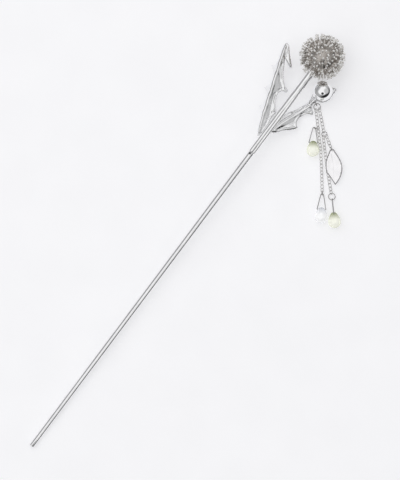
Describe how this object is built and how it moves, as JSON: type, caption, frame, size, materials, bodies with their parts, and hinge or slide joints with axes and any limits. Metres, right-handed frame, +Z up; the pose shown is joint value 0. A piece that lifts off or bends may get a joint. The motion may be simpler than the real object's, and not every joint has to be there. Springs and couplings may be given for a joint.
{
  "type": "decorative hair pin",
  "caption": "Long hair stick with a spiky seed head, toothed leaves and a round bead, and fine chains that carry glass drops and a thin leaf plate.",
  "frame": {"origin": "middle of the box around the pin, on the plane that it lies on", "axes": "+X along the stick from its tip to the seed head, +Z up from the plane that it lies on, +Y towards the folded leaf, away from the dangles"},
  "size_m": [0.1799, 0.0538, 0.017],
  "materials": {
    "pin_shaft": "bright rhodium-like plating, mirror polished",
    "flower_stem": "bright rhodium-like plating, mirror polished",
    "leaf_left": "bright rhodium-like plating, mirror polished",
    "leaf_right": "bright rhodium-like plating, mirror polished",
    "seed_head": "plated, short rods with bright tips and darker gaps",
    "dew_bead": "bright rhodium-like plating, mirror polished",
    "leaf_ring": "bright plated fine wire",
    "strand_ring": "bright plated fine wire",
    "chain_a1": "bright plated fine wire",
    "chain_a2": "bright plated fine wire",
    "chain_a3": "bright plated fine wire",
    "chain_a4": "bright plated fine wire",
    "drop_ring_2": "bright plated fine wire",
    "bail_2": "bright plated fine wire",
    "glass_drop_2": "clear polished glass",
    "drop_ring_1": "bright plated fine wire",
    "bail_1": "bright plated fine wire",
    "glass_drop_1": "clear polished glass",
    "chain_b1": "bright plated fine wire",
    "split_ring": "bright plated fine wire",
    "chain_b2": "bright plated fine wire",
    "chain_b3": "bright plated fine wire",
    "chain_b4": "bright plated fine wire",
    "drop_ring_3": "bright plated fine wire",
    "bail_3": "bright plated fine wire",
    "glass_drop_3": "clear polished glass",
    "chain_c": "bright plated fine wire",
    "plate_ring": "bright plated fine wire",
    "leaf_plate": "bright rhodium-like plating, mirror polished"
  },
  "bodies": {
    "pin": {"pin_shaft": "pin_shaft", "flower_stem": "flower_stem", "leaf_left": "leaf_left", "leaf_right": "leaf_right", "seed_head": "seed_head", "dew_bead": "dew_bead"},
    "leaf_ring": {"leaf_ring": "leaf_ring"},
    "strand_ring": {"strand_ring": "strand_ring"},
    "chain_a1": {"chain_a1": "chain_a1"},
    "chain_a2": {"chain_a2": "chain_a2"},
    "chain_a3": {"chain_a3": "chain_a3"},
    "chain_a4": {"chain_a4": "chain_a4"},
    "drop_ring_2": {"drop_ring_2": "drop_ring_2"},
    "bail_2": {"bail_2": "bail_2"},
    "glass_drop_2": {"glass_drop_2": "glass_drop_2"},
    "drop_ring_1": {"drop_ring_1": "drop_ring_1"},
    "bail_1": {"bail_1": "bail_1"},
    "glass_drop_1": {"glass_drop_1": "glass_drop_1"},
    "chain_b1": {"chain_b1": "chain_b1"},
    "split_ring": {"split_ring": "split_ring", "chain_b2": "chain_b2"},
    "chain_b3": {"chain_b3": "chain_b3"},
    "chain_b4": {"chain_b4": "chain_b4"},
    "drop_ring_3": {"drop_ring_3": "drop_ring_3"},
    "bail_3": {"bail_3": "bail_3"},
    "glass_drop_3": {"glass_drop_3": "glass_drop_3"},
    "chain_c": {"chain_c": "chain_c"},
    "plate_ring": {"plate_ring": "plate_ring"},
    "leaf_plate": {"leaf_plate": "leaf_plate"}
  },
  "joints": [
    {"name": "leaf_ring_turn", "type": "hinge", "parent": "pin", "child": "leaf_ring", "pos_m": [0.068, 0.0065, 0.00127], "axis": [-0.8517, 0.524, 0], "range_deg": [0, 8]},
    {"name": "strand_ring_turn", "type": "hinge", "parent": "leaf_ring", "child": "strand_ring", "pos_m": [0.06735, 0.00544, 0.0011], "axis": [-0.8517, 0.524, 0], "range_deg": [0, 30]},
    {"name": "chain_a1_lift", "type": "hinge", "parent": "strand_ring", "child": "chain_a1", "pos_m": [0.06559, 0.00414, 0.00071], "axis": [-0.6896, 0.7242, 0], "range_deg": [0, 20]},
    {"name": "chain_a2_lift", "type": "hinge", "parent": "chain_a1", "child": "chain_a2", "pos_m": [0.06038, -0.00082, 0.00071], "axis": [-0.6833, 0.7302, 0], "range_deg": [0, 20]},
    {"name": "chain_a3_lift", "type": "hinge", "parent": "chain_a2", "child": "chain_a3", "pos_m": [0.05501, -0.00585, 0.00071], "axis": [-0.6307, 0.776, 0], "range_deg": [0, 20]},
    {"name": "chain_a4_lift", "type": "hinge", "parent": "chain_a3", "child": "chain_a4", "pos_m": [0.04931, -0.01048, 0.00071], "axis": [-0.617, 0.7869, 0], "range_deg": [0, 20]},
    {"name": "drop_ring_1_turn", "type": "hinge", "parent": "chain_a1", "child": "drop_ring_1", "pos_m": [0.06064, 0.00008, 0.00071], "axis": [0.7242, 0.6896, 0], "range_deg": [0, 25]},
    {"name": "bail_1_lift", "type": "hinge", "parent": "drop_ring_1", "child": "bail_1", "pos_m": [0.06, 0.00075, 0.00071], "axis": [-0.5388, 0.8425, 0], "range_deg": [0, 20]},
    {"name": "drop_1_tilt", "type": "hinge", "parent": "bail_1", "child": "glass_drop_1", "pos_m": [0.05563, -0.00205, 0.00178], "axis": [-0.5388, 0.8425, 0], "range_deg": [0, 25]},
    {"name": "bail_2_lift", "type": "hinge", "parent": "drop_ring_2", "child": "bail_2", "pos_m": [0.04279, -0.01556, 0.00071], "axis": [-0.5461, 0.8377, 0], "range_deg": [0, 10]},
    {"name": "drop_2_tilt", "type": "hinge", "parent": "bail_2", "child": "glass_drop_2", "pos_m": [0.03844, -0.0184, 0.00178], "axis": [-0.5461, 0.8377, 0], "range_deg": [0, 25]},
    {"name": "bail_3_lift", "type": "hinge", "parent": "drop_ring_3", "child": "bail_3", "pos_m": [0.04353, -0.01948, 0.00071], "axis": [-0.6639, 0.7478, 0], "range_deg": [0, 25]},
    {"name": "drop_3_swing", "type": "hinge", "parent": "bail_3", "child": "glass_drop_3", "pos_m": [0.03965, -0.02292, 0.00178], "axis": [0.1504, 0.1335, 0.9796], "range_deg": [0, 25]},
    {"name": "drop_ring_2_turn", "type": "hinge", "parent": "chain_a4", "child": "drop_ring_2", "pos_m": [0.04352, -0.01502, 0.00071], "axis": [-0.617, 0.7869, 0], "range_deg": [0, 20]},
    {"name": "chain_b1_lift", "type": "hinge", "parent": "strand_ring", "child": "chain_b1", "pos_m": [0.0665, 0.00328, 0.00071], "axis": [-0.7443, 0.6678, 0], "range_deg": [0, 20]},
    {"name": "split_ring_turn", "type": "hinge", "parent": "chain_b1", "child": "split_ring", "pos_m": [0.06086, -0.003, 0.00071], "axis": [-0.7443, 0.6678, 0], "range_deg": [0, 20]},
    {"name": "chain_b3_swing", "type": "hinge", "parent": "split_ring", "child": "chain_b3", "pos_m": [0.05613, -0.00678, 0.00071], "axis": [0, 0, 1], "range_deg": [0, 12]},
    {"name": "chain_b4_swing", "type": "hinge", "parent": "chain_b3", "child": "chain_b4", "pos_m": [0.04822, -0.01457, 0.00071], "axis": [0, 0, 1], "range_deg": [0, 25]},
    {"name": "drop_ring_3_turn", "type": "hinge", "parent": "chain_b4", "child": "drop_ring_3", "pos_m": [0.04489, -0.0181, 0.00071], "axis": [-0.7266, 0.6871, 0], "range_deg": [0, 20]},
    {"name": "chain_c_lift", "type": "hinge", "parent": "split_ring", "child": "chain_c", "pos_m": [0.06045, -0.00434, 0.00074], "axis": [-0.8348, 0.5505, 0], "range_deg": [0, 20]},
    {"name": "plate_ring_turn", "type": "hinge", "parent": "chain_c", "child": "plate_ring", "pos_m": [0.05792, -0.00818, 0.00168], "axis": [-0.8348, 0.5505, 0], "range_deg": [0, 15]},
    {"name": "leaf_plate_lift", "type": "hinge", "parent": "plate_ring", "child": "leaf_plate", "pos_m": [0.05733, -0.00908, 0.00163], "axis": [-0.5962, 0.8028, 0], "range_deg": [0, 15]}
  ]
}
